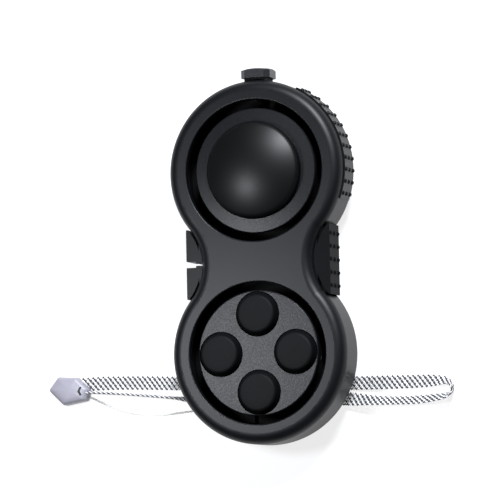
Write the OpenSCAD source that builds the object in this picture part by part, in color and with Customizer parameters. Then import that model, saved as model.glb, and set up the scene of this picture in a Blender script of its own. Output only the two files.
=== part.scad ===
// Pocket fidget pad in the shape of a small game controller: two round ends joined by a waist,
// thumb stick and four buttons in front, click triggers, a side pad and a top toggle round the
// edge, a dial on the back, and a woven wrist strap. It lies on its back, front facing +Z,
// long axis along Y, origin at the middle of its footprint.

/* [Body] */
// Outer radius of each round end
ring_r = 19.2; // [18:0.2:24]
// Gap between the two end circles at the waist
ring_gap = 0.2; // [0:0.1:2]
// Half the width of the waist
waist_half = 12.4; // [11.5:0.1:13]
// Depth of the two shells together
body_t = 11.6; // [11:0.2:15]
// Depth of the back shell alone
back_t = 2.8; // [2.4:0.1:3.6]
// Wall thickness of both shells
wall = 1.5; // [1.2:0.1:1.8]
// Radius of the front edge
front_round = 2.3; // [1:0.1:3]
// Radius of the back edge
back_round = 2.7; // [1:0.1:2.8]
// Width of the rim round each front hole
rim_w = 4.2; // [3.8:0.1:5]
// Radius on the rim of each front hole
hole_round = 0.3; // [0.1:0.05:0.5]
// Play between pieces that move past each other
play = 0.3; // [0.2:0.05:0.4]
// Radial clearance of a pin in its bore
pin_fit = 0.05; // [0.03:0.01:0.1]

/* [Thumb stick] */
// Width of the open groove round the stick disc
groove_w = 1.75; // [1.4:0.05:2.2]
// How far the disc lies below the front face
disc_drop = 1.3; // [1:0.1:2]
// How much the disc rises from its rim to the cap
disc_rise = 0.4; // [0.2:0.05:0.6]
// Height of the pivot below the top of the disc
pivot_drop = 5.9; // [5.6:0.1:6.4]
// Radius of the thumb cap
cap_r = 10.35; // [8:0.05:11]
// Height of the thumb cap above the disc
cap_h = 4.5; // [3:0.1:6]
// Height of the cap's gentle dome
cap_crown = 2.5; // [1:0.1:2.8]
// Radius of the cap's shoulder
cap_round = 1.6; // [0.8:0.1:2]
// Radius of the ball at the stick's foot
ball_r = 2.7; // [2.4:0.1:2.8]
// Radius of the gimbal pins
gimbal_pin_r = 0.6; // [0.5:0.05:0.8]

/* [Buttons] */
// Radius of a button
button_r = 4.6; // [3.5:0.1:4.8]
// Height of a button above its plate
button_rise = 1.7; // [1.4:0.1:2.4]
// How far the plate lies below the front face
plate_drop = 0.8; // [0.4:0.1:1.5]
// Thickness of the plate
plate_t = 1.2; // [1:0.1:1.5]
// Land between a button hole and the plate's edge
plate_land = 0.2; // [0.1:0.05:1]
// Width of the flange that keeps a button in
button_flange = 0.4; // [0.3:0.05:0.6]
// Travel of a button
button_travel = 1.2; // [0.8:0.1:1.3]

/* [Triggers and side pad] */
// Distance of their outer faces from the centre line
side_x = 15.9; // [15:0.1:16.5]
// Half the length of the opening in the waist
side_half = 7.7; // [7:0.1:8]
// How far their front faces lie below the front face
side_drop = 1.8; // [1.6:0.1:2.4]
// Gap between the two triggers
trigger_gap = 1.3; // [1:0.1:1.6]
// Radius of the trigger pins
trigger_pin_r = 0.6; // [0.5:0.05:0.7]
// Travel of the side pad
pad_travel = 1; // [0.6:0.1:1]

/* [Top toggle] */
// Width of the toggle's cap
toggle_w = 6.4; // [5:0.1:7]
// Height of the toggle's cap
toggle_cap_h = 2; // [1.5:0.1:3]
// Width of the toggle's neck
toggle_neck = 4.8; // [4:0.1:5]
// Gap between the cap and the shell
toggle_gap = 0.65; // [0.6:0.05:1]
// How far the toggle's axis lies below the front face
toggle_drop = 5; // [4.8:0.1:5.2]

/* [Grip strip] */
// Number of rows of bumps
grip_rows = 11; // [5:1:13]
// Angle between two rows
grip_pitch = 7.47; // [6:0.01:8]
// How far the strip stands out of the wall
grip_proud = 0.35; // [0.2:0.05:0.6]
// Radius of a bump
bump_r = 0.55; // [0.3:0.05:0.7]

/* [Back] */
// Height of the dial and feet behind the back face
foot_h = 1.6; // [1.4:0.1:2.4]
// Outer radius of the dial
dial_r = 11.5; // [9:0.1:13]
// Radius of the boss the dial turns on
dial_hub_r = 5; // [4:0.1:6]
// Number of finger scallops round the dial
dial_scallops = 18; // [12:1:24]
// Radius of the shell screws
screw_r = 0.9; // [0.7:0.05:1]
// Radius of the lanyard bar
bar_r = 0.7; // [0.6:0.05:0.8]

/* [Strap] */
// Width of the woven band
band_w = 3.2; // [2.8:0.1:3.4]
// Thickness of the woven band
band_t = 0.6; // [0.5:0.05:0.7]
// Diameter of the string
string_d = 0.56; // [0.4:0.02:0.6]
// Height of the strap's end clasp
clasp_h = 3.4; // [3.3:0.1:3.8]

/* [Hidden] */
$fn = 72;
eps = 0.01;

// Outline of the body
centre_y = ring_r + ring_gap / 2;
fillet_r = (pow(centre_y, 2) + pow(waist_half, 2) - pow(ring_r, 2)) / (2 * (ring_r - waist_half));
fillet_x = waist_half + fillet_r;

// Heights
back_z = foot_h;
floor_z = back_z + wall;
split_z = back_z + back_t;
front_z = back_z + body_t;
roof_z = front_z - wall;
side_top = front_z - side_drop;
side_bottom = split_z + play;

// Thumb stick
hole_r = ring_r - rim_w;
disc_r = hole_r - groove_w;
disc_t = 1.2;
disc_z = front_z - disc_drop;
disc_bevel = 0.2;
cap_z = disc_z + disc_rise;
pivot_z = disc_z - pivot_drop;
ring_in = ball_r + 0.75;
ring_out = ring_in + 1.4;
ring_h = 1.9;
post_in = ring_out + 1.4;
post_t = 1.4;
post_w = 3.4;
frame_r = 9.6;
frame_t = 0.8;
stick_spring_turns = 4;
stick_spring_wire = 0.6;
stick_spring_r = frame_r - stick_spring_wire;
stick_spring_top = disc_z - disc_t - stick_spring_wire / 2 - pin_fit;
stick_spring_low = floor_z + frame_t + stick_spring_wire / 2 + pin_fit;

// Buttons
plate_r = hole_r - groove_w;
plate_z = front_z - plate_drop;
plate_bottom = plate_z - plate_t;
button_hole_r = button_r + 0.2;
button_spread = plate_r - button_hole_r - plate_land;
button_top = plate_z + button_rise;
flange_t = 0.9;
base_t = 1.1;
base_top = floor_z + base_t;
dome_h = 2.4;
dome_r = 3.3;
stem_r = 1.7;
leg_r = 1.4;
leg_spread = plate_r - 2;
base_hole_r = 1.1;

// Triggers and pad
side_gap = 0.35;
slit = 0.5;
step_x = 13.8;
trigger_x = waist_half - 1.2;
trigger_y = side_half - 1.3;
trigger_ear = trigger_pin_r + 0.5;
pad_flange_t = 0.7;
pad_flange_x = waist_half - wall - play - pad_flange_t;
pad_flange_half = side_half + 0.4;
plug_half = side_half - play;
pad_pitch = 2.75;
boss_x = 6.8;
boss_r = screw_r + 0.9;
leaf_h = 3.5;
leaf_t = 0.5;
spring_face_x = boss_x + boss_r;
pad_seat_x = pad_flange_x + pad_flange_t + 1.1;
pad_spring_r = 1.5;
spring_wire = 0.4;

// Toggle
toggle_z = front_z - toggle_drop;
toggle_pivot = ring_r - 3.2;
toggle_pin_r = 0.6;
toggle_swing = 12;
lug_half = 1.6;

// Grip strip
grip_low = split_z + 0.35;
grip_high = front_z - front_round;
grip_first = -16.5;
grip_sink = 0.6;
grip_end = grip_pitch / 2;
bump_pitch = (grip_high - grip_low - 1.6) / 2;
grip_mid = (grip_low + grip_high) / 2;

// Back
retainer_r = dial_hub_r + 1.2;
retainer_t = 0.5;
dial_t = foot_h - 0.15;
foot_r = 1.3;
foot_x = 3;
foot_y = centre_y + hole_r + 0.2;
pocket = [5, 2.8, 2];
pocket_x = -7;
pocket_y = -(centre_y + hole_r - 2.8);
bar_z = back_z + 0.6;
bar_l = pocket[1] + 1.4;
tongue_t = 0.6;
tongue_h = 0.7;

// Strap: the points that the band follows, each [x, y, z, roll], those of the string, [x, y, z],
// and those of its loop round the lanyard bar, measured from the bar
band_route = [
  [-46.5, -25.4, 1.1, 0], [-43, -25.3, 0.9, 0], [-38, -25.2, 0.45, 0], [-30, -25.4, 0.35, 0],
  [-20, -25.9, 0.35, 0], [-10, -26.3, 0.35, 0], [0, -26.6, 0.35, 0], [10, -26.9, 0.35, 0],
  [18, -27.1, 0.4, -5], [26, -27.2, 0.55, -10], [32, -27.2, 0.75, -20], [35.5, -27.2, 1.1, -38],
  [37.6, -27.4, 1.55, -62], [38.9, -28.3, 1.65, -90], [38.9, -29.7, 1.65, -100],
  [37.4, -30.5, 1.65, -112], [35, -30.8, 1.5, -122], [31, -31.1, 1.4, -128], [26, -31.1, 1.4, -126],
  [21.5, -30.9, 1.35, -135], [17, -30.5, 0.8, -160], [13, -30.2, 0.4, -175], [6, -30, 0.35, -180],
  [-2, -29.9, 0.35, -180], [-10, -29.8, 0.35, -180], [-14.5, -29.6, 0.6, -168],
  [-18, -29.4, 1.2, -135], [-22, -29, 1.65, -98], [-28, -28.3, 1.65, -94], [-34, -27.7, 1.65, -93],
  [-39, -27.3, 1.65, -92], [-42.6, -27.1, 1.65, -92]];
string_route = [
  [-43.2, -28, 1.2], [-41.8, -28.3, 0.6], [-40, -29.2, 0.3], [-37.5, -30.3, 0.3], [-35, -31.2, 0.3],
  [-32, -31.9, 0.3], [-29, -32.3, 0.3], [-26, -32.4, 0.3], [-23, -32.2, 0.3], [-20, -31.9, 0.3],
  [-17, -31.8, 0.3], [-14.5, -32.1, 0.3], [-12.5, -32.6, 0.3]];
string_loop = [
  [-3.3, 0.4, -1.7], [-2.3, 0.2, -1], [-1.5, 0.1, 0], [-0.9, 0, 0.75], [0, 0, 1.05], [0.9, 0, 0.75],
  [1.5, 0, 0], [2.2, 0, -0.9], [3, 0, -1.45], [3.8, 0, -1.6]];
clasp_outline = [[-51.3, -26.4], [-49, -23.5], [-44.6, -23.8], [-41.8, -26.5], [-42.6, -28.9],
  [-47.8, -29.8]];
insert_size = [0.9, 1.8, 0.6];
insert_at = [-44.2, -27.7, clasp_h - 0.8];

// Puts the middle of the footprint, toggle included, over the origin
seat = [0, -(toggle_gap + toggle_cap_h) / 2, 0];

// Middle of the lanyard bar; the string's loop and knot are placed from it
bar_at = seat + [pocket_x, pocket_y, bar_z];
knot_at = bar_at + [4.3, 0, -1.48];

// ---- Shared shapes ----

// Half-section of a disc with rounded edges, measured out from the axis
module disc_section(r, z0, z1, low, high) {
  difference() {
    translate([0, z0]) square([r, z1 - z0]);
    if (high > 0) translate([r - high, z1 - high]) difference() {
      square(high + 1);
      circle(high);
    }
    if (low > 0) translate([r - low, z0 + low]) difference() {
      translate([0, -low - 1]) square([low + 1, low + 1]);
      circle(low);
    }
  }
}

// Half-section of what the waist's hollow sides take away, flared to match the rounded edges
module flare_section(r, z0, z1, low, high) {
  translate([0, z0 - 1]) square([r, z1 - z0 + 2]);
  if (high > 0) translate([r + high, z1 - high]) difference() {
    translate([-high - 1, 0]) square([high + 1, high + 1]);
    circle(high);
  }
  if (low > 0) translate([r + low, z0 + low]) difference() {
    translate([-low - 1, -low - 1]) square([low + 1, low + 1]);
    circle(low);
  }
}

// The body's figure-of-eight shape, inset from the outside by a distance. The waist stops a
// hair short of a true tangent, so that it and the round ends cross cleanly.
module figure(inset, z0, z1, low = 0, high = 0) {
  r = ring_r - inset;
  lean = atan2(centre_y, fillet_x) + 4;
  x = (r + 1) * cos(lean);
  y = centre_y - (r + 1) * sin(lean);
  for (s = [-1, 1]) translate([0, s * centre_y, 0]) rotate_extrude() disc_section(r, z0, z1, low, high);
  difference() {
    translate([0, 0, z0]) linear_extrude(z1 - z0)
      polygon([[0, centre_y], [x, y], [x, -y], [0, -centre_y], [-x, -y], [-x, y]]);
    for (s = [-1, 1]) translate([s * fillet_x, 0, 0]) rotate_extrude()
      flare_section(fillet_r + inset + eps, z0, z1, low, high);
  }
}

module drill(x, y, z0, z1, r) translate([x, y, z0]) cylinder(r = r, h = z1 - z0);

module slab(low, high) translate(low) cube(high - low);

// Coil spring along +Z: turns of wire as a swept tube, from radius r0 to r1
module coil(r0, r1, z0, z1, turns, wire, steps = 20, sides = 6) {
  n = turns * steps;
  points = [for (i = [0:n]) for (j = [0:sides - 1])
    let (a = 360 * i / steps, b = 360 * j / sides, t = i / n,
      r = r0 + (r1 - r0) * t + wire / 2 * cos(b))
    [r * cos(a), r * sin(a), z0 + (z1 - z0) * t + wire / 2 * sin(b)]];
  sweep(points, n + 1, sides);
}

// Closes rings of points into one solid
module sweep(points, rings, sides) {
  polyhedron(points, concat(
    [[for (j = [0:sides - 1]) j]],
    [for (i = [0:rings - 2]) for (j = [0:sides - 1])
      let (a = i * sides + j, b = i * sides + (j + 1) % sides) [a, a + sides, b + sides, b]],
    [[for (j = [sides - 1:-1:0]) (rings - 1) * sides + j]]));
}

function unit(v) = v / norm(v);
function spot(route, i) = [route[i][0], route[i][1], route[i][2]];
function along(route, i) = unit(
  spot(route, min(i + 1, len(route) - 1)) - spot(route, max(i - 1, 0)));

// One ring of a cord: an ellipse w wide and t thick, rolled about the cord's own direction
function cord_ring(at, dir, roll, w, t, sides) =
  let (flat = unit(cross([0, 0, 1], dir)), up = cross(dir, flat),
    wide = flat * cos(roll) + up * sin(roll), thin = cross(dir, wide))
  [for (j = [0:sides - 1]) let (b = 360 * (j + 0.5) / sides)
    at + wide * (w / 2 * cos(b) / cos(180 / sides)) + thin * (t / 2 * sin(b) / sin(90 - 180 / sides))];

// Mirrors the lower of two alike pieces
module flip(s) mirror([0, s < 0 ? 1 : 0, 0]) children();

// ---- Body ----

// Opening in the side of the waist, open to the parting plane
module side_opening(s) {
  x0 = waist_half - wall - 1;
  mirror([s < 0 ? 1 : 0, 0, 0])
    slab([x0, -side_half, split_z - 1], [side_x + 1, side_half, roof_z]);
}

module grip_arc(r0, r1, z0, z1, extra) {
  translate([0, centre_y, 0])
    rotate([0, 0, grip_first - grip_end - extra])
      rotate_extrude(angle = grip_pitch * grip_rows + 2 * extra)
        translate([r0, z0]) square([r1 - r0, z1 - z0]);
}

module front_shell() {
  color("#26272b") difference() {
    union() {
      difference() {
        figure(0, split_z, front_z, 0, front_round);
        figure(wall, split_z - 1, roof_z);
      }
      // screw posts
      for (s = [-1, 1]) drill(s * boss_x, 0, split_z + 0.6, roof_z + eps, boss_r);
      // upper lug of the toggle pin
      intersection() {
        figure(wall / 2, split_z, roof_z + eps);
        slab([-lug_half, centre_y + hole_r - 0.1, toggle_z + toggle_neck / 2 + play],
          [lug_half, centre_y + ring_r, roof_z + eps]);
      }
    }
    for (s = [-1, 1]) {
      drill(0, s * centre_y, split_z - 1, front_z + 1, hole_r);
      translate([0, s * centre_y, front_z - hole_round]) rotate_extrude() difference() {
        square([hole_r + hole_round, 2 * hole_round]);
        translate([hole_r + hole_round, 0]) circle(hole_round);
      }
    }
    for (s = [-1, 1]) side_opening(s);
    for (s = [-1, 1]) drill(s * boss_x, 0, split_z - 1, roof_z, screw_r);
    for (s = [-1, 1]) drill(-trigger_x, s * trigger_y, roof_z - 1, roof_z + 0.8, trigger_pin_r);
    // slot of the toggle, pin hole
    slab([-toggle_neck / 2 - 1, centre_y + hole_r - 1, toggle_z - toggle_neck / 2 - play],
      [toggle_neck / 2 + 1, centre_y + ring_r + 1, toggle_z + toggle_neck / 2 + play]);
    drill(0, centre_y + toggle_pivot, split_z, roof_z + 0.8, toggle_pin_r);
    grip_arc(ring_r - grip_sink, ring_r + 1, grip_low, grip_high, 0);
  }
}

module back_shell() {
  color("#232428") difference() {
    union() {
      difference() {
        figure(0, back_z, split_z, back_round, 0);
        figure(wall, floor_z, split_z + 1);
      }
      // locating tongue inside the front shell
      difference() {
        figure(wall + pin_fit, floor_z - eps, split_z + tongue_h);
        figure(wall + pin_fit + tongue_t, floor_z - 1, split_z + 2);
        for (s = [-1, 1]) slab([s > 0 ? 8 : -side_x, -side_half - 1, floor_z - 1],
          [s > 0 ? side_x : -8, side_half + 1, split_z + 2]);
        slab([-4.5, centre_y + hole_r - 1, floor_z - 1], [4.5, centre_y + ring_r, split_z + 2]);
      }
      // screw bosses, posts of the toggle and triggers
      for (s = [-1, 1]) drill(s * boss_x, 0, floor_z - eps, split_z + 0.6, boss_r);
      drill(0, centre_y + toggle_pivot, floor_z - eps, toggle_z - toggle_neck / 2 - play, 1);
      // boss that the dial turns on
      drill(0, centre_y, retainer_t, back_z + eps, dial_hub_r);
      // pocket of the lanyard bar
      translate([pocket_x - pocket[0] / 2 - 0.8, pocket_y - pocket[1] / 2 - 0.8, back_z + 0.5])
        cube([pocket[0] + 1.6, pocket[1] + 1.6, pocket[2] + 0.3]);
    }
    translate([pocket_x - pocket[0] / 2, pocket_y - pocket[1] / 2, back_z - 1])
      cube([pocket[0], pocket[1], pocket[2] + 1]);
    translate([pocket_x, pocket_y, bar_z]) rotate([90, 0, 0])
      cylinder(r = bar_r, h = bar_l, center = true);
    for (s = [-1, 1]) {
      drill(s * boss_x, 0, 0, split_z + 1, screw_r + 0.1);
      drill(s * boss_x, 0, back_z - 1, back_z + 1, 2 * screw_r + 0.1);
      drill(-trigger_x, s * trigger_y, floor_z - 0.8, floor_z + 1, trigger_pin_r);
      drill(s * foot_x, -foot_y, back_z - 1, back_z + 0.3, foot_r);
    }
    drill(0, centre_y + toggle_pivot, floor_z - 0.5, toggle_z, toggle_pin_r);
    drill(0, centre_y, 0, floor_z + 1, 0.7);
  }
}

module grip_strip() {
  color("#1c1d20") {
    grip_arc(ring_r - grip_sink, ring_r + grip_proud, grip_low, grip_high, 0);
    for (i = [0:grip_rows - 1], k = [-1:1])
      translate([0, centre_y, grip_mid + k * bump_pitch]) rotate([0, 0, grip_first + i * grip_pitch])
        translate([ring_r + grip_proud - eps, 0, 0]) rotate([0, 90, 0])
          cylinder(r1 = bump_r, r2 = bump_r * 0.55, h = 0.4);
  }
}

// Screws that hold the shells together
module shell_screws() {
  color("#55575c") for (s = [-1, 1]) difference() {
    union() {
      drill(s * boss_x, 0, back_z + 0.2, back_z + 1, 2 * screw_r);
      drill(s * boss_x, 0, back_z + 1, roof_z - 1.5, screw_r);
    }
    for (a = [0, 90]) translate([s * boss_x, 0, back_z]) rotate([0, 0, a])
      cube([2 * screw_r, 0.4, 1.2], center = true);
  }
}

// ---- Thumb stick ----

module stick_frame() {
  color("#2c2d31") translate([0, centre_y, 0]) difference() {
    union() {
      drill(0, 0, floor_z, floor_z + frame_t, frame_r);
      for (s = [-1, 1]) translate([s * (post_in + post_t / 2), 0, 0]) {
        translate([-post_t / 2, -post_w / 2, floor_z]) cube([post_t, post_w, pivot_z - floor_z]);
        translate([0, 0, pivot_z]) rotate([0, 90, 0]) cylinder(r = post_w / 2, h = post_t, center = true);
      }
    }
    drill(0, 0, floor_z - 1, pivot_z, ring_out + 0.4);
    translate([0, 0, pivot_z]) rotate([0, 90, 0])
      cylinder(r = gimbal_pin_r + pin_fit, h = 2 * post_in + 4, center = true);
  }
}

module stick_gimbal() {
  color("#8b8d92") translate([0, centre_y, pivot_z]) difference() {
    union() {
      cylinder(r = ring_out, h = ring_h, center = true);
      rotate([0, 90, 0]) cylinder(r = gimbal_pin_r, h = 2 * (post_in + post_t), center = true);
    }
    cylinder(r = ring_in, h = ring_h + 2, center = true);
    rotate([90, 0, 0]) cylinder(r = gimbal_pin_r, h = 2 * ring_out + 2, center = true);
  }
}

module gimbal_cross_pin() {
  color("#a5a7ab") translate([0, centre_y, pivot_z]) rotate([90, 0, 0])
    cylinder(r = gimbal_pin_r, h = 2 * ring_out, center = true);
}

module stick_disc() {
  stem_top = disc_z - disc_t;
  color("#3b3c42") translate([0, centre_y, 0]) difference() {
    union() {
      // disc, falling gently from the cap to a bevelled rim
      rotate_extrude() polygon([[0, stem_top], [disc_r, stem_top], [disc_r, disc_z - disc_bevel],
        [disc_r - disc_bevel, disc_z], [cap_r - 0.8, cap_z], [0, cap_z]]);
      translate([0, 0, stem_top - 1.2]) cylinder(r1 = 2.2, r2 = 4.5, h = 1.2 + eps);
      drill(0, 0, pivot_z, stem_top - 1, 2);
      translate([0, 0, pivot_z]) sphere(r = ball_r);
    }
    translate([0, 0, pivot_z]) rotate([90, 0, 0])
      cylinder(r = gimbal_pin_r + pin_fit, h = 3 * ball_r, center = true);
    drill(0, 0, 0, max(pivot_z - ball_r * 0.68, floor_z + 0.3), ball_r);
  }
}

// Rubber cap: a low dome that runs into the side over a round shoulder. The shoulder's circle is a
// hair larger than a true tangent one, so that it crosses the dome and the side cleanly.
module thumb_cap() {
  top = disc_z + cap_h;
  ball = (pow(cap_r, 2) + pow(cap_crown, 2)) / (2 * cap_crown);
  inner = cap_r - cap_round;
  rise = sqrt(pow(ball - cap_round, 2) - pow(inner, 2));
  lean = atan2(rise, inner);
  color("#1f2024") translate([0, centre_y, 0]) intersection() {
    rotate_extrude() difference() {
      union() {
        translate([0, cap_z]) square([cap_r - 0.4, top - cap_z]);
        translate([0, cap_z + 0.3]) square([cap_r, top - cap_z - 0.3]);
      }
      translate([inner, top - ball + rise]) difference() {
        polygon([[0, 0], [3, 0], [3, 3], [3 * cos(lean), 3 * sin(lean)]]);
        circle(cap_round + 0.004);
      }
    }
    translate([0, 0, top - ball]) sphere(r = ball, $fn = 160);
  }
}

module stick_spring() {
  color("#b9bbbf") translate([0, centre_y, 0])
    coil(stick_spring_r, stick_spring_r - 1, stick_spring_low, stick_spring_top,
      stick_spring_turns, stick_spring_wire, 24);
}

// ---- Buttons ----

// Centres of the four buttons: up, down, left, right
function button_spot(k) = [[0, 1], [0, -1], [-1, 0], [1, 0]][k] * button_spread;

module at_button(k) translate([button_spot(k)[0], button_spot(k)[1] - centre_y, 0]) children();

module button_plate() {
  color("#3a3b41") difference() {
    union() {
      translate([0, -centre_y, 0]) rotate_extrude()
        disc_section(plate_r, plate_bottom, plate_z, 0, 0.3);
      for (a = [45:90:315])
        drill(leg_spread * cos(a), leg_spread * sin(a) - centre_y, base_top, plate_bottom + eps, leg_r);
    }
    for (k = [0:3]) at_button(k) drill(0, 0, plate_bottom - 1, plate_z + 1, button_hole_r);
  }
}

// Round base that the rubber domes sit on
module button_base() {
  color("#1c1d21") difference() {
    drill(0, -centre_y, floor_z, base_top, plate_r);
    drill(0, -centre_y, floor_z - 1, base_top + 1, base_hole_r);
    // corner that clears the lanyard pocket
    translate([pocket_x - pocket[0] / 2 - 1, pocket_y - pocket[1] / 2 - 4, floor_z - 1])
      cube([pocket[0] + 2, pocket[1] + 5, base_t + 2]);
  }
}

// A button: domed cap with a drafted side, retaining flange, stem
module button(k) {
  flange_z = plate_bottom - 0.05 - flange_t;
  color("#1b1f24") at_button(k) {
    rotate_extrude() difference() {
      polygon([[0, flange_z], [button_r + button_flange, flange_z],
        [button_r + button_flange, flange_z + flange_t], [button_r, flange_z + flange_t],
        [button_r, plate_z + 0.3], [button_r * 0.84, button_top - 0.35],
        [button_r * 0.76, button_top - 0.08], [button_r * 0.4, button_top], [0, button_top]]);
    }
    drill(0, 0, base_top + dome_h + 0.05, flange_z + eps, stem_r);
  }
}

// Rubber dome under a button
module dome(k) {
  color("#c9c5b8") at_button(k) translate([0, 0, base_top]) rotate_extrude() polygon([
    [dome_r - 0.9, 0], [dome_r, 0], [dome_r, 0.5], [dome_r - 0.5, 0.5], [stem_r + 0.2, dome_h],
    [0, dome_h], [0, dome_h - 0.9], [stem_r - 0.6, dome_h - 0.9]]);
}

module button_up() button(0);
module button_down() button(1);
module button_left() button(2);
module button_right() button(3);
module dome_up() dome(0);
module dome_down() dome(1);
module dome_left() dome(2);
module dome_right() dome(3);

// ---- Triggers and side pad ----

// Half-moon that fills the hollow side of the waist, from the centre line out to side_x
module half_moon(x0, y0, y1) {
  intersection() {
    translate([x0, y0]) square([side_x - x0, y1 - y0]);
    union() {
      translate([fillet_x, 0]) circle(fillet_r - side_gap);
      translate([x0, y0]) square([waist_half + side_gap + 0.4 - x0, y1 - y0]);
    }
  }
}

// A trigger: half-moon shell, inner arm and hinge ear, drawn for the upper one on the left
module trigger(s) {
  h = side_top - side_bottom;
  tip = slit / 2;
  color("#1a1b1f") flip(s) mirror([1, 0, 0]) difference() {
    union() {
      translate([0, 0, side_bottom]) linear_extrude(h) difference() {
        half_moon(trigger_x + trigger_ear + 0.1, tip, side_half - play);
        translate([step_x, -1]) square([side_x, 1 + trigger_gap / 2]);
      }
      // arm from the hinge to the tip, inside the opening
      slab([trigger_x - 0.9, tip + 0.3, side_bottom + 0.3],
        [trigger_x + trigger_ear + 0.2, trigger_y, side_top - 0.3]);
      drill(trigger_x, trigger_y, side_bottom + 0.3, side_top - 0.3, trigger_ear);
      // finger ridges along the outer face
      for (i = [0:5]) translate([side_x - 0.05, 0, side_bottom + h * (i + 0.5) / 6])
        rotate([-90, 0, 0]) translate([0, 0, trigger_gap / 2 + 0.4])
          cylinder(r = 0.25, h = side_half - play - trigger_gap / 2 - 0.8);
    }
    drill(trigger_x, trigger_y, side_bottom - 1, side_top + 1, trigger_pin_r + pin_fit);
  }
}

module trigger_upper() trigger(1);
module trigger_lower() trigger(-1);

module trigger_pins() {
  color("#a5a7ab") for (s = [-1, 1])
    drill(-trigger_x, s * trigger_y, floor_z - 0.8, roof_z + 0.8, trigger_pin_r);
}

// Bent strip of spring steel behind the two triggers, held on the screw post
module trigger_leaf_spring() {
  z0 = side_bottom + 1.2;
  color("#b9bbbf") difference() {
    union() {
      drill(-boss_x, 0, z0, z0 + leaf_h, boss_r + leaf_t + pin_fit);
      translate([0, 0, z0]) linear_extrude(leaf_h)
        polygon([[-boss_x - 0.5, 0], [1 - trigger_x, 4.2], [1.4 - trigger_x, 4.4], [1.4 - boss_x, 1.5],
          [1.4 - boss_x, -1.5], [1.4 - trigger_x, -4.4], [1 - trigger_x, -4.2]]);
    }
    drill(-boss_x, 0, z0 - 1, z0 + leaf_h + 1, boss_r + pin_fit);
  }
}

module side_pad() {
  h = side_top - side_bottom;
  mid = (side_top + side_bottom) / 2;
  color("#17181b") difference() {
    union() {
      translate([0, 0, side_bottom]) linear_extrude(h)
        half_moon(pad_flange_x + pad_flange_t - eps, -plug_half, plug_half);
      // flange behind the opening
      slab([pad_flange_x, -pad_flange_half, floor_z + play],
        [pad_flange_x + pad_flange_t, pad_flange_half, side_top]);
      for (k = [-2:2], z = [side_bottom + 0.8, mid, side_top - 0.8])
        translate([side_x - eps, k * pad_pitch, z]) rotate([0, 90, 0])
          cylinder(r1 = bump_r, r2 = bump_r * 0.5, h = 0.35);
    }
    for (s = [-1, 1]) translate([0, s * 4.2, mid]) rotate([0, 90, 0])
      cylinder(r = 0.8 + pin_fit, h = pad_seat_x + 1.3);
    translate([0, 0, mid]) rotate([0, 90, 0]) cylinder(r = pad_spring_r + 0.5, h = pad_seat_x);
  }
}

// Two pins that the pad slides on, standing on a small bracket beside the screw post
module pad_guide_pins() {
  mid = (side_top + side_bottom) / 2;
  x0 = spring_face_x - 0.9;
  color("#a5a7ab") difference() {
    union() {
      for (s = [-1, 1]) translate([x0, s * 4.2, mid]) rotate([0, 90, 0])
        cylinder(r = 0.8, h = pad_seat_x + 0.2 - x0);
      slab([x0 - 0.8, -5.2, floor_z], [x0, 5.2, mid + 1.2]);
    }
    drill(boss_x, 0, floor_z - 1, roof_z, boss_r + pin_fit);
  }
}

module pad_spring() {
  mid = (side_top + side_bottom) / 2;
  color("#b9bbbf") translate([0, 0, mid]) rotate([0, 90, 0])
    coil(pad_spring_r, pad_spring_r, spring_face_x + 0.3, pad_seat_x - 0.3, 4, spring_wire);
}

// ---- Top toggle ----

module toggle_lever() {
  half = toggle_neck / 2;
  y0 = centre_y + toggle_pivot;
  top = centre_y + ring_r + toggle_gap;
  color("#2a2b2f") difference() {
    union() {
      drill(0, y0, toggle_z - half, toggle_z + half, toggle_pin_r + 0.5);
      slab([-half + 0.5, y0, toggle_z - half], [half - 0.5, top - 1.5, toggle_z + half]);
      slab([-half, top - 1.8, toggle_z - half], [half, top, toggle_z + half]);
    }
    drill(0, y0, toggle_z - half - 1, toggle_z + half + 1, toggle_pin_r + pin_fit);
  }
}

// Ribbed cap with bevelled corners, slightly crowned
module toggle_cap() {
  top = centre_y + ring_r + toggle_gap;
  w = toggle_w / 2;
  b = 1.1;
  color("#1f2024") translate([0, top, toggle_z]) rotate([-90, 0, 0]) difference() {
    linear_extrude(toggle_cap_h) polygon([[w, w - b], [w - b, w], [b - w, w], [-w, w - b],
      [-w, b - w], [b - w, -w], [w - b, -w], [w, b - w]]);
    translate([0, 0, toggle_cap_h]) difference() {
      cylinder(r = 2 * w, h = 2, center = true);
      translate([0, 0, -9.6]) sphere(r = 10);
    }
  }
}

module toggle_pin() {
  color("#a5a7ab") drill(0, centre_y + toggle_pivot, floor_z - 0.5, roof_z + 0.8, toggle_pin_r);
}

// Spring tongue that clicks the toggle over
module toggle_detent() {
  color("#b9bbbf") translate([0, centre_y, toggle_z - 1.5]) rotate([0, 0, 98])
    rotate_extrude(angle = 18) translate([ring_r - wall - 0.45, 0]) square([0.4, 3]);
}

// ---- Back ----

module back_dial() {
  color("#2c2d31") translate([0, centre_y, 0]) difference() {
    drill(0, 0, 0, dial_t, dial_r);
    drill(0, 0, -1, dial_t + 1, dial_hub_r + 0.1);
    drill(0, 0, -1, retainer_t + 0.15, retainer_r + 0.2);
    for (i = [0:dial_scallops - 1]) rotate([0, 0, 360 * (i + 0.5) / dial_scallops])
      drill(dial_r + 0.7, 0, -1, dial_t + 1, 1.3);
    translate([0, dial_r - 2.6, -2.6]) sphere(r = 3.2);
  }
}

module dial_retainer() {
  color("#2c2d31") translate([0, centre_y, 0]) difference() {
    drill(0, 0, 0.1, retainer_t, retainer_r);
    drill(0, 0, -1, retainer_t + 1, 0.8);
    translate([0, 0, 0.05]) cylinder(r1 = 1.6, r2 = 1.1, h = 0.3);
  }
}

module dial_screw() {
  color("#55575c") translate([0, centre_y, 0]) difference() {
    union() {
      drill(0, 0, 0.15, 0.35, 1.05);
      drill(0, 0, 0.2, floor_z - 0.1, 0.7);
    }
    for (a = [0, 90]) rotate([0, 0, a]) cube([1.4, 0.3, 0.6], center = true);
  }
}

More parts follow.
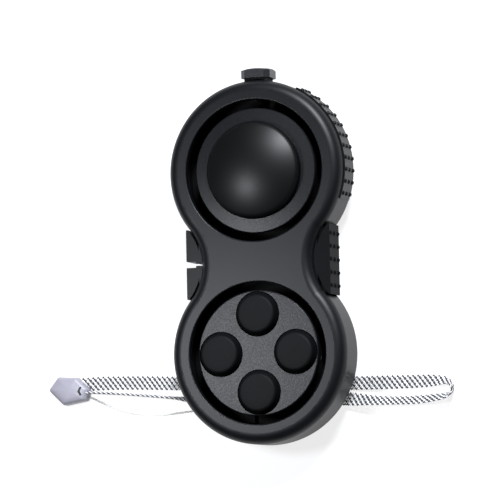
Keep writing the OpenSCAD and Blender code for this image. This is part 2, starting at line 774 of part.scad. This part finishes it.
module foot_pads() {
  color("#1c1d20") for (s = [-1, 1]) drill(s * foot_x, -foot_y, 0, back_z + 0.3, foot_r);
}

module lanyard_bar() {
  color("#a5a7ab") translate([pocket_x, pocket_y, bar_z]) rotate([90, 0, 0])
    cylinder(r = bar_r, h = bar_l, center = true);
}

// ---- Strap ----

module strap_band() {
  n = len(band_route);
  color("#7f8187") sweep([for (i = [0:n - 1])
    each cord_ring(spot(band_route, i), along(band_route, i), band_route[i][3], band_w, band_t, 8)], n, 8);
}

module strap_string() {
  route = concat(string_route, [for (p = string_loop) bar_at + p]);
  n = len(route);
  color("#d8d7d2") sweep([for (i = [0:n - 1])
    each cord_ring(route[i], along(route, i), 0, string_d, string_d, 8)], n, 8);
}

module strap_clasp() {
  color("#a9a7b4") difference() {
    linear_extrude(clasp_h) polygon(clasp_outline);
    translate(insert_at) cube([insert_size[0], insert_size[1], 2]);
  }
}

module clasp_insert() {
  color("#131316") translate(insert_at) cube(insert_size);
}

module string_knot() {
  color("#d8d7d2") translate(knot_at) sphere(r = 0.7);
}

translate(seat) front_shell();
translate(seat) back_shell();
translate(seat) grip_strip();
translate(seat) shell_screws();
translate(seat) stick_frame();
translate(seat) stick_gimbal();
translate(seat) gimbal_cross_pin();
translate(seat) stick_disc();
translate(seat) thumb_cap();
translate(seat) stick_spring();
translate(seat) button_plate();
translate(seat) button_base();
translate(seat) button_up();
translate(seat) button_down();
translate(seat) button_left();
translate(seat) button_right();
translate(seat) dome_up();
translate(seat) dome_down();
translate(seat) dome_left();
translate(seat) dome_right();
translate(seat) trigger_upper();
translate(seat) trigger_lower();
translate(seat) trigger_pins();
translate(seat) trigger_leaf_spring();
translate(seat) side_pad();
translate(seat) pad_guide_pins();
translate(seat) pad_spring();
translate(seat) toggle_lever();
translate(seat) toggle_cap();
translate(seat) toggle_pin();
translate(seat) toggle_detent();
translate(seat) back_dial();
translate(seat) dial_retainer();
translate(seat) dial_screw();
translate(seat) foot_pads();
translate(seat) lanyard_bar();
strap_band();
strap_string();
strap_clasp();
clasp_insert();
string_knot();
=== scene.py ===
"""Fidget pad: its looks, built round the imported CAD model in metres."""

from math import acos, atan2, ceil, cos, pi, radians, sin, sqrt

import bmesh
import bpy
from mathutils import Matrix, Vector


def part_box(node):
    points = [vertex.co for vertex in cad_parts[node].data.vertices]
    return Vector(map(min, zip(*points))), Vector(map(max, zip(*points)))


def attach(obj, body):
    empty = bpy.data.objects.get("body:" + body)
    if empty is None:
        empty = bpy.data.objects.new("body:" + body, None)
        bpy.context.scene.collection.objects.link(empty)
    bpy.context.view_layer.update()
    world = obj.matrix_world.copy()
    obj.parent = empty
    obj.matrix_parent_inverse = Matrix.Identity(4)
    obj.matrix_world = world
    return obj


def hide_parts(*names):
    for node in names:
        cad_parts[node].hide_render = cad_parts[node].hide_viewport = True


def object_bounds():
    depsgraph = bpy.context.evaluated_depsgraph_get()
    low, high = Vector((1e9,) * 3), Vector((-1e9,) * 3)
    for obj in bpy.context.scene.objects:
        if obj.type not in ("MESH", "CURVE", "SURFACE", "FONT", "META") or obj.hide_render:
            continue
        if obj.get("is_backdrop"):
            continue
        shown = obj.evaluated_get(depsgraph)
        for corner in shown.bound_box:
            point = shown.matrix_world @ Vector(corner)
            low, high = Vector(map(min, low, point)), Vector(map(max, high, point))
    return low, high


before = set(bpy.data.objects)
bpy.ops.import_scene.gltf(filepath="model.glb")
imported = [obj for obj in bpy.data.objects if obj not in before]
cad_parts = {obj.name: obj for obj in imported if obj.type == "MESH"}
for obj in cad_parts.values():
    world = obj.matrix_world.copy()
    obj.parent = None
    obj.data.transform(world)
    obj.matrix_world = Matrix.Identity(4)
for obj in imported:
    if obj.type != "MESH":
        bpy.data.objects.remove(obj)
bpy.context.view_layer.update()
MM = 0.001

# ---- Camera ----
# The pad lies on its back and is looked down on from a little to the right.
shell_low, shell_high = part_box("front_shell")
END_R = (shell_high.x - shell_low.x) / 2
WAIST = Vector((0, (shell_low.y + shell_high.y) / 2, 0))
STICK = Vector((0, shell_high.y - END_R, 0))
BUTTONS = Vector((0, shell_low.y + END_R, 0))
DISTANCE = 818.7 * MM
LENS = 278.1
ROLL = radians(1.25)

back = Vector((0.3251, -0.0824, 1)).normalized()
level = Vector((0, 1, 0)).cross(back).normalized()
above = back.cross(level)
right = level * cos(ROLL) - above * sin(ROLL)
up = above * cos(ROLL) + level * sin(ROLL)
target = WAIST + Vector((0, 0, 6.2 * MM))
aim = target - right * 3.283 * MM + up * 2.84 * MM
place = target + back * DISTANCE
away = (place - aim).normalized()
side = (right - away * right.dot(away)).normalized()
camera = bpy.data.objects.new("camera", bpy.data.cameras.new("camera"))
camera.data.lens = LENS
camera.data.sensor_width = 36
camera.data.clip_start = 0.05
turned = Matrix((side, away.cross(side), away)).transposed()
camera.matrix_world = Matrix.Translation(place) @ turned.to_4x4()
bpy.context.scene.collection.objects.link(camera)
bpy.context.scene.camera = camera


# ---- Woven band ----
# Narrow wrist strap braided flat from eight polyester strands, pale and dark by turns, which gives
# it fine slanting dark lines. Both of its ends are moulded into the clasp: it is one closed loop.
def linear(hexed):
    """An sRGB hex colour as linear RGBA."""
    out = []
    for i in (1, 3, 5):
        c = int(hexed[i : i + 2], 16) / 255
        out.append(c / 12.92 if c <= 0.04045 else ((c + 0.055) / 1.055) ** 2.4)
    return (*out, 1)


def add(material, kind, inputs=None, **settings):
    """Adds one shader node: inputs are {socket: value or (node, its output)}."""
    made = material.node_tree.nodes.new("ShaderNode" + kind)
    for key, value in settings.items():
        setattr(made, key, value)
    for key, value in (inputs or {}).items():
        if isinstance(value, tuple) and hasattr(value[0], "outputs"):
            material.node_tree.links.new(value[0].outputs[value[1]], made.inputs[key])
        else:
            made.inputs[key].default_value = value
    return made


def start(name, hexed, roughness, **sockets):
    """An empty material with its shader: (material, shader, position in metres)."""
    material = bpy.data.materials.new(name)
    material.use_nodes = True
    material.node_tree.nodes.clear()
    shader = add(material, "BsdfPrincipled", {"Base Color": linear(hexed), "Roughness": roughness})
    for key, value in sockets.items():
        shader.inputs[key.replace("_", " ")].default_value = value
    add(material, "OutputMaterial", {"Surface": (shader, "BSDF")})
    return material, shader, add(material, "TexCoord")


def link(material, source, output, target_node, socket):
    material.node_tree.links.new(source.outputs[output], target_node.inputs[socket])


def moulded(name, hexed, roughness, grain, depth, spread=0.12, mottle=0.25, **sockets):
    """Moulded plastic or rubber. Spark-eroded tool steel leaves its fine grain (mm) in the skin,
    which breaks the highlight up and makes the roughness uneven."""
    material, shader, at = start(name, hexed, roughness, **sockets)
    fine = add(
        material,
        "TexNoise",
        {"Vector": (at, "Object"), "Scale": 1 / (grain * MM), "Detail": 3.0},
    )
    broad = add(material, "TexNoise", {"Vector": (at, "Object"), "Scale": 160.0, "Detail": 2.0})
    bump = add(
        material,
        "Bump",
        {"Height": (fine, "Fac"), "Distance": depth * MM, "Strength": 1.0},
    )
    link(material, bump, "Normal", shader, "Normal")
    rough = add(
        material,
        "MapRange",
        {"Value": (fine, "Fac"), "To Min": roughness - spread, "To Max": roughness + spread},
    )
    link(material, rough, "Result", shader, "Roughness")
    dark = tuple(c * (1 - mottle) for c in linear(hexed)[:3]) + (1,)
    light = tuple(min(1, c * (1 + mottle)) for c in linear(hexed)[:3]) + (1,)
    tone = add(
        material,
        "MixRGB",
        {"Fac": (broad, "Fac"), "Color1": dark, "Color2": light},
    )
    link(material, tone, "Color", shader, "Base Color")
    return material


def thread(name, hexed, twist):
    """Polyester or nylon yarn: fibres run along it as fine streaks, with a slight sheen."""
    material, shader, at = start(name, hexed, 0.6, Sheen_Weight=0.4, Sheen_Roughness=0.4)
    fibres = add(
        material,
        "TexNoise",
        {"Vector": (at, "Object"), "Scale": 1 / (twist * MM), "Detail": 4.0},
    )
    bump = add(
        material,
        "Bump",
        {"Height": (fibres, "Fac"), "Distance": 0.05 * MM, "Strength": 0.8},
    )
    link(material, bump, "Normal", shader, "Normal")
    base = linear(hexed)
    dark = tuple(c * 0.78 for c in base[:3]) + (1,)
    tone = add(material, "MixRGB", {"Fac": (fibres, "Fac"), "Color1": dark, "Color2": base})
    link(material, tone, "Color", shader, "Base Color")
    return material


def make(name, points, faces, materials, body, turn=30, which=None):
    """A mesh piece from points in metres, smooth except at edges sharper than turn degrees."""
    mesh = bpy.data.meshes.new(name)
    mesh.from_pydata([tuple(p) for p in points], [], faces)
    for material in materials:
        mesh.materials.append(material)
    if which:
        mesh.polygons.foreach_set("material_index", which)
    mesh.validate()
    shape = bmesh.new()
    shape.from_mesh(mesh)
    bmesh.ops.recalc_face_normals(shape, faces=shape.faces)
    shape.to_mesh(mesh)
    shape.free()
    mesh.shade_smooth()
    mesh.set_sharp_from_angle(angle=radians(turn))
    piece = bpy.data.objects.new(name, mesh)
    bpy.context.scene.collection.objects.link(piece)
    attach(piece, body)
    return piece


def tube(rings):
    """Faces that join rings of equal size into one closed tube."""
    n = len(rings[0])
    points = [p for ring in rings for p in ring]
    faces = [list(range(n))[::-1], [(len(rings) - 1) * n + j for j in range(n)]]
    for i in range(len(rings) - 1):
        for j in range(n):
            k = (j + 1) % n
            faces.append([i * n + j, i * n + k, (i + 1) * n + k, (i + 1) * n + j])
    return points, faces


def smooth_route(stops, step):
    """A smooth curve through the stops, sampled every step: each point has all their values."""
    out = []
    for i in range(len(stops) - 1):
        a, b, c, d = (stops[max(0, min(len(stops) - 1, i + k))] for k in (-1, 0, 1, 2))
        gap = sqrt(sum((c[k] - b[k]) ** 2 for k in range(3)))
        n = max(1, ceil(gap / step))
        for j in range(n):
            t = j / n
            out.append(
                [
                    0.5
                    * (
                        2 * q
                        + (r - p) * t
                        + (2 * p - 5 * q + 4 * r - s) * t * t
                        + (3 * q - p - 3 * r + s) * t**3
                    )
                    for p, q, r, s in zip(a, b, c, d)
                ]
            )
    return out + [list(stops[-1])]


def frames(route):
    """Along a route: (point, distance, direction, width direction, thickness direction)."""
    out, gone = [], 0
    for i, stop in enumerate(route):
        here = Vector(stop[:3])
        ahead = Vector(route[min(i + 1, len(route) - 1)][:3])
        behind = Vector(route[max(i - 1, 0)][:3])
        run = (ahead - behind).normalized()
        if i:
            gone += (here - Vector(route[i - 1][:3])).length
        flat = Vector((0, 0, 1)).cross(run).normalized()
        rise = run.cross(flat)
        roll = radians(stop[3]) if len(stop) > 3 else 0
        wide = flat * cos(roll) + rise * sin(roll)
        out.append((here, gone, run, wide, run.cross(wide)))
    return out


BAND_W = 3.2 * MM
BAND_T = 0.6 * MM
BAND_ROUTE = [
    (-46.5, -25.4, 1.1, 0), (-43, -25.3, 0.9, 0), (-38, -25.2, 0.45, 0), (-30, -25.4, 0.35, 0),
    (-20, -25.9, 0.35, 0), (-10, -26.3, 0.35, 0), (0, -26.6, 0.35, 0), (10, -26.9, 0.35, 0),
    (18, -27.1, 0.4, -5), (26, -27.2, 0.55, -10), (32, -27.2, 0.75, -20), (35.5, -27.2, 1.1, -38),
    (37.6, -27.4, 1.55, -62), (38.9, -28.3, 1.65, -90), (38.9, -29.7, 1.65, -100),
    (37.4, -30.5, 1.65, -112), (35, -30.8, 1.5, -122), (31, -31.1, 1.4, -128), (26, -31.1, 1.4, -126),
    (21.5, -30.9, 1.35, -135), (17, -30.5, 0.8, -160), (13, -30.2, 0.4, -175), (6, -30, 0.35, -180),
    (-2, -29.9, 0.35, -180), (-10, -29.8, 0.35, -180), (-14.5, -29.6, 0.6, -168),
    (-18, -29.4, 1.2, -135), (-22, -29, 1.65, -98), (-28, -28.3, 1.65, -94), (-34, -27.7, 1.65, -93),
    (-39, -27.3, 1.65, -92), (-42.6, -27.1, 1.65, -92),
]
STRANDS = 8
PITCH = 0.56 * MM  # between two strands that run the same way
STRAND_W = 0.46 * MM
STRAND_T = 0.28 * MM


def braid(line):
    """The strands of a flat plain braid, and which of the two colours each face has."""
    points, faces, which = [], [], []
    reach = (BAND_W - STRAND_W) / 2
    rise = (BAND_T - STRAND_T) / 2
    sides = 6
    for k in range(STRANDS):
        rings = []
        for here, gone, run, wide, thin in line:
            count = (gone / PITCH + k) % STRANDS  # crossings passed since the left edge
            half = STRANDS / 2
            falling = count > half
            across = 1 - 2 * (count - half if falling else count) / half
            across = -across if falling else across
            turning = min(count % half, half - count % half)
            lift = cos(2 * pi * count) * (1 if falling else -1) * min(1, 3 * turning)
            centre = here + wide * reach * across + thin * rise * lift
            rings.append(
                [
                    centre
                    + wide * STRAND_W / 2 * cos(2 * pi * j / sides)
                    + thin * STRAND_T / 2 * sin(2 * pi * j / sides)
                    for j in range(sides)
                ]
            )
        some, more = tube(rings)
        faces += [[v + len(points) for v in face] for face in more]
        points += some
        which += [k % 2] * len(more)
    return points, faces, which


def metres(stops):
    return [(x * MM, y * MM, z * MM, *rest) for x, y, z, *rest in stops]


pale_yarn = thread("white_polyester_yarn", "#f4f4f6", 0.08)
dark_yarn = thread("charcoal_polyester_yarn", "#303137", 0.08)
band_line = frames(smooth_route(metres(BAND_ROUTE), 0.13 * MM))
band_points, band_faces, band_which = braid(band_line)
band = make("woven_band", band_points, band_faces, [pale_yarn, dark_yarn], "casing", 60, band_which)
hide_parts("strap_band")

# ---- String, knot ----
# Thin two-ply nylon string. It leaves the clasp, sags over the table, goes round the steel bar in
# the back of the casing and ends in a knot.
STRING_D = 0.56 * MM
STRING_ROUTE = [
    (-43.2, -28, 1.2), (-41.8, -28.3, 0.6), (-40, -29.2, 0.3), (-37.5, -30.3, 0.3), (-35, -31.2, 0.3),
    (-32, -31.9, 0.3), (-29, -32.3, 0.3), (-26, -32.4, 0.3), (-23, -32.2, 0.3), (-20, -31.9, 0.3),
    (-17, -31.8, 0.3), (-14.5, -32.1, 0.3), (-12.5, -32.6, 0.3),
]
STRING_LOOP = [
    (-3.3, 0.4, -1.7), (-2.3, 0.2, -1), (-1.5, 0.1, 0), (-0.9, 0, 0.75), (0, 0, 1.05), (0.9, 0, 0.75),
    (1.5, 0, 0), (2.2, 0, -0.9), (3, 0, -1.45), (3.8, 0, -1.6),
]
TWIST = 1.3 * MM
PLY_SIDES = 7
bar_low, bar_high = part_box("lanyard_bar")
bar = (bar_low + bar_high) / 2
nylon = thread("white_nylon_string", "#f6f5f2", 0.05)
string_stops = metres(STRING_ROUTE) + [tuple(bar + Vector(p) * MM) for p in STRING_LOOP]
string_line = frames(smooth_route(string_stops, 0.12 * MM))
string_points, string_faces = [], []
for ply in (0, pi):
    rings = []
    for here, gone, run, wide, thin in string_line:
        turn = 2 * pi * gone / TWIST + ply
        out = wide * cos(turn) + thin * sin(turn)
        cross = run.cross(out)
        r = STRING_D / 4
        turns = [2 * pi * j / PLY_SIDES for j in range(PLY_SIDES)]
        rings.append([here + out * r + (out * cos(a) + cross * sin(a)) * r for a in turns])
    some, more = tube(rings)
    string_faces += [[v + len(string_points) for v in face] for face in more]
    string_points += some
string = make("clasp_string", string_points, string_faces, [nylon], "casing", 60)
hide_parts("strap_string")

knot_low, knot_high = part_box("string_knot")
knot_at = (knot_low + knot_high) / 2
KNOT_TUBE = 0.23 * MM
KNOT_LOBE = 0.145 * MM
KNOT_STEPS = 96
knot_run = []
for i in range(KNOT_STEPS + 1):
    t = 2 * pi * i / KNOT_STEPS
    lobe = Vector((sin(t) + 2 * sin(2 * t), cos(t) - 2 * cos(2 * t), -sin(3 * t)))
    knot_run.append(tuple(knot_at + Vector((lobe.x, lobe.y, lobe.z * 1.2)) * KNOT_LOBE))
rings = []
around = [2 * pi * j / 8 for j in range(8)]
for here, gone, run, wide, thin in frames(knot_run):
    rings.append([here + (wide * cos(a) + thin * sin(a)) * KNOT_TUBE for a in around])
knot_points, knot_faces = tube(rings)
knot = make("end_knot", knot_points, knot_faces, [nylon], "casing", 60)
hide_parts("string_knot")

# ---- Clasp ----
# Hexagonal end piece moulded over both ends of the band in pale violet-grey ABS, with soft edges,
# a slightly domed top and a black chevron let into it.
CLASP_OUTLINE = [
    (-51.3, -26.4), (-49, -23.5), (-44.6, -23.8), (-41.8, -26.5), (-42.6, -28.9), (-47.8, -29.8),
]


def rounded(corners, radius, steps=6):
    """A closed outline with its corners rounded."""
    out = []
    n = len(corners)
    for i in range(n):
        p, a, b = (Vector(corners[k % n]) for k in (i, i - 1, i + 1))
        to_a, to_b = (a - p).normalized(), (b - p).normalized()
        half = acos(max(-1, min(1, to_a.dot(to_b)))) / 2
        cut = min(radius / sin(half) * cos(half), 0.45 * min((a - p).length, (b - p).length))
        first, last = p + to_a * cut, p + to_b * cut
        for j in range(steps + 1):
            t = j / steps
            out.append((1 - t) ** 2 * first + 2 * t * (1 - t) * p + t * t * last)
    return out


def stacked(outline, levels):
    """Rings of one outline, each level (height, share of its distance from the middle)."""
    middle = sum(outline, Vector((0, 0))) / len(outline)
    rings = []
    for z, share in levels:
        rings.append([Vector((*(middle + (p - middle) * share), z)) * MM for p in outline])
    return rings


clasp_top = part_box("strap_clasp")[1].z / MM
CLASP_LEVELS = [(0.0, 0.9), (0.15, 0.96), (0.5, 1.0)]
CLASP_LEVELS += [
    (clasp_top - drop, share)
    for drop, share in ((1.3, 0.985), (0.75, 0.955), (0.4, 0.89), (0.2, 0.78), (0.08, 0.55), (0.02, 0.25))
]
violet = moulded("violet_grey_abs", "#8f8d98", 0.4, 0.18, 0.006, 0.05, 0.05)
clasp_points, clasp_faces = tube(stacked(rounded(CLASP_OUTLINE, 0.7), CLASP_LEVELS))
clasp = make("hexagonal_clasp", clasp_points, clasp_faces, [violet], "casing", 40)
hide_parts("strap_clasp")

insert_low, insert_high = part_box("clasp_insert")
middle = (insert_low + insert_high) / 2 / MM
CHEVRON = [(0.45, 0.0), (0.0, 0.9), (-0.45, 0.9), (-0.1, 0.0), (-0.45, -0.9), (0.0, -0.9)]
CHEVRON_FOOT = 0.9
black_insert = moulded("black_chevron_abs", "#0d0d10", 0.5, 0.1, 0.004)
outline = [Vector((middle.x - x, middle.y + y)) for x, y in CHEVRON]
chevron_levels = [(insert_low.z / MM, CHEVRON_FOOT), (clasp_top, 1.0)]
chevron_points, chevron_faces = tube(stacked(outline, chevron_levels))
chevron = make("clasp_chevron", chevron_points, chevron_faces, [black_insert], "casing")
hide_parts("clasp_insert")


# ---- Casing ----
# Front and back shells: injection-moulded ABS, dyed black, with a satin grain off the tool. The two
# halves meet on a parting line and are held by two screws from the back.
satin_abs = moulded("satin_black_abs", "#0a0b0e", 0.42, 0.16, 0.006, 0.05, Specular_IOR_Level=0.24)


def finish(nodes, material):
    """Gives pieces that keep their CAD shape their material."""
    for name in nodes:
        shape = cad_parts[name]
        shape.data.materials.clear()
        shape.data.materials.append(material)


def soften(nodes, width):
    """The small radius (mm) that the mould leaves on the edges of pieces that keep their shape."""
    for name in nodes:
        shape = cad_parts[name]
        weld = shape.modifiers.new("joined_faces", "WELD")
        weld.merge_threshold = 0.001 * MM
        flat = shape.modifiers.new("whole_flats", "DECIMATE")
        flat.decimate_type = "DISSOLVE"
        flat.angle_limit = radians(0.6)
        edge = shape.modifiers.new("soft_edge", "BEVEL")
        edge.width = width * MM
        edge.segments = 2
        edge.limit_method = "ANGLE"
        edge.angle_limit = radians(35)
        shape.modifiers.new("even_shading", "WEIGHTED_NORMAL").keep_sharp = False


finish(["front_shell", "back_shell"], satin_abs)

# Inside, the back shell keeps the rough, dull skin of an unpolished mould core; its darker colour there is
# painted shade inside the casing.
core_abs_painted_shade = moulded("dull_core_side_abs_painted_shade", "#050506", 0.8, 0.3, 0.01, Specular_IOR_Level=0.15)
back_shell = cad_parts["back_shell"].data
back_shell.materials.append(core_abs_painted_shade)
parting_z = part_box("front_shell")[0].z
WALL = 1.2 * MM
LIP = 0.8 * MM
outside_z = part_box("back_shell")[0].z + WALL
# Upward faces inside the back shell take the darker material: painted shade, seen through the grooves.
for face in back_shell.polygons:
    if face.normal.z > 0.3 and outside_z < face.center.z < parting_z + LIP:
        face.material_index = 1

# ---- Thumb stick ----
# The disc is charcoal ABS out of a coarsely spark-eroded tool, so its top glitters faintly.
spark_abs = moulded(
    "spark_grained_charcoal_abs", "#0c0d10", 0.4, 0.3, 0.03, 0.1, 0.3, Specular_IOR_Level=0.26
)
finish(["stick_disc"], spark_abs)


def lathe(name, profile, centre, materials, body, turn=30, sides=96):
    """A turned piece: the profile is [(radius, height)] in metres from its foot to its top."""
    points, faces = [], []
    turns = [2 * pi * j / sides for j in range(sides)]
    for r, z in profile:
        points += [(centre.x + r * cos(a), centre.y + r * sin(a), z) for a in turns]
    for i in range(len(profile) - 1):
        for j in range(sides):
            k = (j + 1) % sides
            faces.append([i * sides + j, i * sides + k, (i + 1) * sides + k, (i + 1) * sides + j])
    faces.append(list(range(sides))[::-1])
    faces.append([(len(profile) - 1) * sides + j for j in range(sides)])
    return make(name, points, faces, materials, body, turn)


# The cap is soft black silicone rubber, moulded as a low dome with a round shoulder and stretched
# over the disc.
CROWN = 2.5 * MM
SHOULDER = 1.6 * MM
cap_low, cap_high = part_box("thumb_cap")
cap_r = (cap_high.x - cap_low.x) / 2
ball = (cap_r**2 + CROWN**2) / (2 * CROWN)
inner = cap_r - SHOULDER
rise = sqrt((ball - SHOULDER) ** 2 - inner**2)
lean = atan2(rise, inner)
shoulder_z = cap_high.z - ball + rise
cap_profile = [(cap_r - 0.4 * MM, cap_low.z), (cap_r - 0.4 * MM, cap_low.z + 0.2 * MM)]
cap_profile += [(cap_r - 0.1 * MM, cap_low.z + 0.25 * MM), (cap_r, cap_low.z + 0.35 * MM)]
cap_profile += [
    (inner + SHOULDER * cos(a), shoulder_z + SHOULDER * sin(a)) for a in [lean * i / 12 for i in range(13)]
]
cap_profile += [
    (ball * cos(a), cap_high.z - ball + ball * sin(a))
    for a in [lean + (pi / 2 - lean) * i / 24 for i in range(1, 24)]
]
cap_rubber = moulded(
    "soft_black_silicone_rubber", "#060708", 0.4, 0.13, 0.006, 0.05, Specular_IOR_Level=0.22
)
cap = lathe("thumb_cap_rubber", cap_profile, (cap_low + cap_high) / 2, [cap_rubber], "stick", 50)
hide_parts("thumb_cap")

# Under the disc: die-cast gimbal ring, ground pins, the frame that carries them and the coil
# spring that centres the stick.
inner_abs = moulded("black_inner_abs", "#08090b", 0.7, 0.2, 0.004, Specular_IOR_Level=0.2)
die_cast = moulded("die_cast_zinc", "#8b8d92", 0.42, 0.3, 0.008, 0.1, 0.1, Metallic=1.0)
ground_steel = moulded("ground_steel", "#a5a7ab", 0.24, 0.1, 0.001, 0.05, 0.05, Metallic=1.0)
spring_steel = moulded("drawn_spring_steel", "#b9bbbf", 0.3, 0.08, 0.002, 0.06, 0.08, Metallic=1.0)
finish(["stick_frame"], inner_abs)
finish(["stick_gimbal"], die_cast)
finish(["gimbal_cross_pin"], ground_steel)
finish(["stick_spring"], spring_steel)

# ---- Buttons ----
# Plate and base are ABS; the four buttons are matte rubber with a drafted side and a soft edge,
# kept in by a flange; each sits on a silicone dome that snaps back.
finish(["button_plate"], spark_abs)
finish(["button_base"], inner_abs)
button_rubber = moulded(
    "matte_button_rubber", "#08090b", 0.6, 0.12, 0.006, 0.05, Specular_IOR_Level=0.11
)
SOFT = 0.75 * MM
FLANGE_OUT = 0.4 * MM
FLANGE_H = 0.9 * MM
FLANGE_DOWN = 2.15 * MM
STEM_R = 1.7 * MM
DRAFT = 0.75 * MM
TOP_EDGE = 0.3 * MM
CROWN_H = 0.12 * MM
plate_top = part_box("button_plate")[1].z
for way in ("up", "down", "left", "right"):
    low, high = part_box("button_" + way)
    flange_r = (high.x - low.x) / 2
    r = flange_r - FLANGE_OUT
    flange_z = plate_top - FLANGE_DOWN
    top_r = r - DRAFT
    profile = [(STEM_R, low.z), (STEM_R, flange_z), (flange_r, flange_z)]
    profile += [(flange_r, flange_z + FLANGE_H), (r, flange_z + FLANGE_H), (r, plate_top + 0.1 * MM)]
    bend = [radians(8 + 78 * i / 9) for i in range(10)]
    edge_r = top_r - SOFT + TOP_EDGE
    edge_z = high.z - SOFT - CROWN_H
    profile += [(edge_r + SOFT * cos(a), edge_z + SOFT * sin(a)) for a in bend]
    profile += [(top_r * s, high.z - CROWN_H * s**2) for s in (0.7, 0.55, 0.4, 0.25, 0.1)]
    button = lathe("rubber_button_" + way, profile, (low + high) / 2, [button_rubber], "button_" + way, 35)
    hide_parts("button_" + way)

dome_silicone = moulded("translucent_dome_silicone", "#c9c5b8", 0.5, 0.2, 0.004, Subsurface_Weight=0.2)
finish(["dome_up", "dome_down", "dome_left", "dome_right"], dome_silicone)

# ---- Triggers ----
# Two black ABS levers with finger ridges, on steel pins, behind them a strip of spring steel.
trigger_abs = moulded("ribbed_trigger_abs", "#07080a", 0.42, 0.15, 0.006, Specular_IOR_Level=0.15)
finish(["trigger_upper", "trigger_lower"], trigger_abs)
soften(["trigger_upper", "trigger_lower"], 0.1)
finish(["trigger_pins"], ground_steel)
finish(["trigger_leaf_spring"], spring_steel)

# ---- Side pad ----
# Black rubber half-moon that slides in on two pins against a small coil spring.
pad_rubber = moulded("stippled_pad_rubber", "#08090b", 0.6, 0.15, 0.006, Specular_IOR_Level=0.07)
finish(["side_pad"], pad_rubber)
soften(["side_pad"], 0.12)
finish(["pad_guide_pins"], ground_steel)
finish(["pad_spring"], spring_steel)

# ---- Grip strip ----
# Black rubber strip let into the wall, with rows of three moulded bumps.
grip_rubber = moulded("bumped_grip_rubber", "#07080a", 0.42, 0.15, 0.006, Specular_IOR_Level=0.22)
finish(["grip_strip"], grip_rubber)
soften(["grip_strip"], 0.1)

# ---- Toggle ----
# ABS lever on a steel pin, with a stippled rubber cap and a spring tongue that clicks it over.
stipple_rubber = moulded("stippled_cap_rubber", "#17181c", 0.4, 0.45, 0.05)
finish(["toggle_cap"], stipple_rubber)
soften(["toggle_cap"], 0.15)
finish(["toggle_lever"], inner_abs)
finish(["toggle_pin"], ground_steel)
finish(["toggle_detent"], spring_steel)

# ---- Back ----
# Scalloped ABS dial on its boss, retainer and blackened screws, two rubber feet, steel lanyard bar.
dial_abs = moulded("dial_abs", "#141518", 0.45, 0.2, 0.006)
blackened = moulded("blackened_screw_steel", "#55575c", 0.4, 0.12, 0.002, 0.08, 0.1, Metallic=1.0)
foot_rubber = moulded("foot_rubber", "#101113", 0.75, 0.2, 0.01)
finish(["back_dial", "dial_retainer"], dial_abs)
soften(["back_dial"], 0.15)
finish(["dial_screw", "shell_screws"], blackened)
finish(["foot_pads"], foot_rubber)
finish(["lanyard_bar"], ground_steel)

# ---- Studio ----
# Plain pale table; a small soft light low over the lower left and a second one high behind the
# upper right, in an almost dark surround.
bpy.context.scene.view_settings.view_transform = "Standard"
paper, paper_shader, _ = start("pale_table", "#9a9a9c", 0.9, Emission_Strength=0.8)
paper_shader.inputs["Emission Color"].default_value = (1, 1, 1, 1)
floor_mesh = bpy.data.meshes.new("table_top")
S = 1.5
floor_mesh.from_pydata([(-S, -S, 0), (S, -S, 0), (S, S, 0), (-S, S, 0)], [], [(0, 1, 2, 3)])
floor_mesh.materials.append(paper)
table_top = bpy.data.objects.new("table_top", floor_mesh)
bpy.context.scene.collection.objects.link(table_top)
table_top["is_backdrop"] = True


def softbox(name, place, size, power, aim=(0, 0, 0)):
    lamp = bpy.data.lights.new(name, "AREA")
    lamp.shape = "DISK"
    lamp.size = size
    lamp.energy = power
    lamp.color = (0.92, 0.95, 1.0)
    holder = bpy.data.objects.new(name, lamp)
    holder.location = place
    holder.rotation_mode = "QUATERNION"
    holder.rotation_quaternion = (Vector(place) - Vector(aim)).to_track_quat("Z", "Y")
    bpy.context.scene.collection.objects.link(holder)


softbox("low_left", (-0.053, -0.016, 0.145), 0.03, 0.15, (-0.01, -0.02, 0))
softbox("high_right", (0.18, 0.36, 0.42), 0.15, 6)

world = bpy.data.worlds.new("surround")
bpy.context.scene.world = world
world.use_nodes = True
world.node_tree.nodes["Background"].inputs["Color"].default_value = (1, 1, 1, 1)
world.node_tree.nodes["Background"].inputs["Strength"].default_value = 0.05

low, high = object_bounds()
